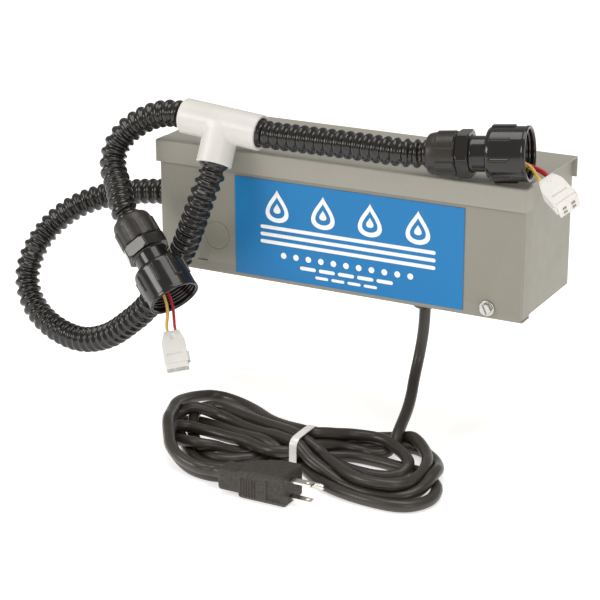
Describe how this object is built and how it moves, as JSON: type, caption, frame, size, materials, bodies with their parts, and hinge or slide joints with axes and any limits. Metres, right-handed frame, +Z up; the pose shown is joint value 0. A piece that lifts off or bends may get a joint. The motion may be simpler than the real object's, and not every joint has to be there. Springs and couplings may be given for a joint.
{
  "type": "uv clarifier",
  "caption": "Weatherproof steel power box with slip-on cover, corrugated conduit tee, threaded lamp ends and a tied mains cord with moulded plug.",
  "frame": {"origin": "middle of the box's rear panel, on its outer face", "axes": "+X along the box to the right end, +Y into the wall, +Z up; the front cover faces -Y"},
  "size_m": [0.5024, 0.2435, 0.2581],
  "materials": {
    "box_grey": "satin baked enamel, light orange peel",
    "cap_grey": "satin baked enamel, finely speckled",
    "label_blue": null,
    "zinc_steel": "bright zinc plate",
    "green_steel": "green dyed zinc",
    "ballast_black": "black enamel",
    "black_moulding": "fine moulded texture",
    "gloss_black": "glossy moulding",
    "hose_black": "glossy extruded corrugation",
    "seal_rubber": "matt rubber",
    "white_pvc": "smooth PVC",
    "white_nylon": "moulded nylon",
    "cord_jacket": "satin jacket",
    "plug_black": "pebbled moulding",
    "nickel_plate": "nickel plate",
    "tie_white": "soft plastic band",
    "wire_red": "smooth insulation",
    "wire_yellow": "smooth insulation"
  },
  "bodies": {
    "power_unit": {"back_box": "box_grey", "ballast_left": "ballast_black", "ballast_left_screw_inner": "zinc_steel", "ballast_left_screw_outer": "zinc_steel", "ballast_right": "ballast_black", "ballast_right_screw_inner": "zinc_steel", "ballast_right_screw_outer": "zinc_steel", "conduit_inlet_body": "black_moulding", "conduit_inlet_hose_seal": "seal_rubber", "conduit_inlet_locknut": "zinc_steel", "cord_gland_body": "black_moulding", "cord_gland_locknut": "black_moulding", "drip_cap": "cap_grey", "ground_screw": "green_steel", "hanging_lamp_end_fitting_body": "black_moulding", "hanging_lamp_end_hose_seal": "seal_rubber", "hanging_lamp_end_lamp_plug": "white_nylon", "hanging_lamp_end_union_seal": "seal_rubber", "hanging_lamp_end_wire_red_back": "wire_red", "hanging_lamp_end_wire_red_front": "wire_red", "hanging_lamp_end_wire_yellow_back": "wire_yellow", "hanging_lamp_end_wire_yellow_front": "wire_yellow", "hank_tie": "tie_white", "hose_box_to_tee": "hose_black", "hose_tee_to_hanging_end": "hose_black", "hose_tee_to_resting_end": "hose_black", "mains_cord_drop": "cord_jacket", "mains_cord_hank": "cord_jacket", "mains_cord_tail": "cord_jacket", "plug_blade_lower": "nickel_plate", "plug_blade_upper": "nickel_plate", "plug_body": "plug_black", "plug_ground_pin": "nickel_plate", "resting_lamp_end_fitting_body": "black_moulding", "resting_lamp_end_hose_seal": "seal_rubber", "resting_lamp_end_lamp_plug": "white_nylon", "resting_lamp_end_union_seal": "seal_rubber", "resting_lamp_end_wire_red_back": "wire_red", "resting_lamp_end_wire_red_front": "wire_red", "resting_lamp_end_wire_yellow_back": "wire_yellow", "resting_lamp_end_wire_yellow_front": "wire_yellow", "tee_fitting": "white_pvc", "terminal_block": "black_moulding", "terminal_screw_1": "zinc_steel", "terminal_screw_2": "zinc_steel", "terminal_screw_3": "zinc_steel"},
    "cover": {"front_cover": "box_grey", "label_panel": "label_blue"},
    "cover_screw": {"cover_screw": "zinc_steel"},
    "gland_nut": {"cord_gland_nut": "black_moulding"},
    "inlet_nut": {"conduit_inlet_compression_nut": "black_moulding"},
    "hanging_hose_nut": {"hanging_lamp_end_compression_nut": "black_moulding"},
    "hanging_union_nut": {"hanging_lamp_end_union_nut": "gloss_black"},
    "resting_hose_nut": {"resting_lamp_end_compression_nut": "black_moulding"},
    "resting_union_nut": {"resting_lamp_end_union_nut": "gloss_black"}
  },
  "joints": [
    {"name": "cover_slide", "type": "slide", "parent": "power_unit", "child": "cover", "axis": [0, 0, -1], "range_m": [0, 0.03]},
    {"name": "cover_screw_turn", "type": "hinge", "parent": "cover", "child": "cover_screw", "pos_m": [0.1247, -0.0993, -0.043], "axis": [0, -1, 0], "continuous": true},
    {"name": "gland_nut_turn", "type": "hinge", "parent": "power_unit", "child": "gland_nut", "pos_m": [0.054, -0.051, -0.0635], "axis": [0, 0, -1], "continuous": true},
    {"name": "inlet_nut_turn", "type": "hinge", "parent": "power_unit", "child": "inlet_nut", "pos_m": [-0.1695, -0.036, -0.0132], "axis": [-1, 0, 0], "continuous": true},
    {"name": "hanging_hose_nut_turn", "type": "hinge", "parent": "power_unit", "child": "hanging_hose_nut", "pos_m": [-0.1379, -0.15653, -0.00679], "axis": [0.7023, -0.2941, -0.6483], "continuous": true},
    {"name": "hanging_union_nut_turn", "type": "hinge", "parent": "power_unit", "child": "hanging_union_nut", "pos_m": [-0.10349, -0.17094, -0.03855], "axis": [0.7023, -0.2941, -0.6483], "continuous": true},
    {"name": "resting_hose_nut_turn", "type": "hinge", "parent": "power_unit", "child": "resting_hose_nut", "pos_m": [0.09007, -0.10406, 0.06958], "axis": [0.983, 0.165, 0.08], "continuous": true},
    {"name": "resting_union_nut_turn", "type": "hinge", "parent": "power_unit", "child": "resting_union_nut", "pos_m": [0.13823, -0.09598, 0.0735], "axis": [0.983, 0.165, 0.08], "continuous": true}
  ]
}
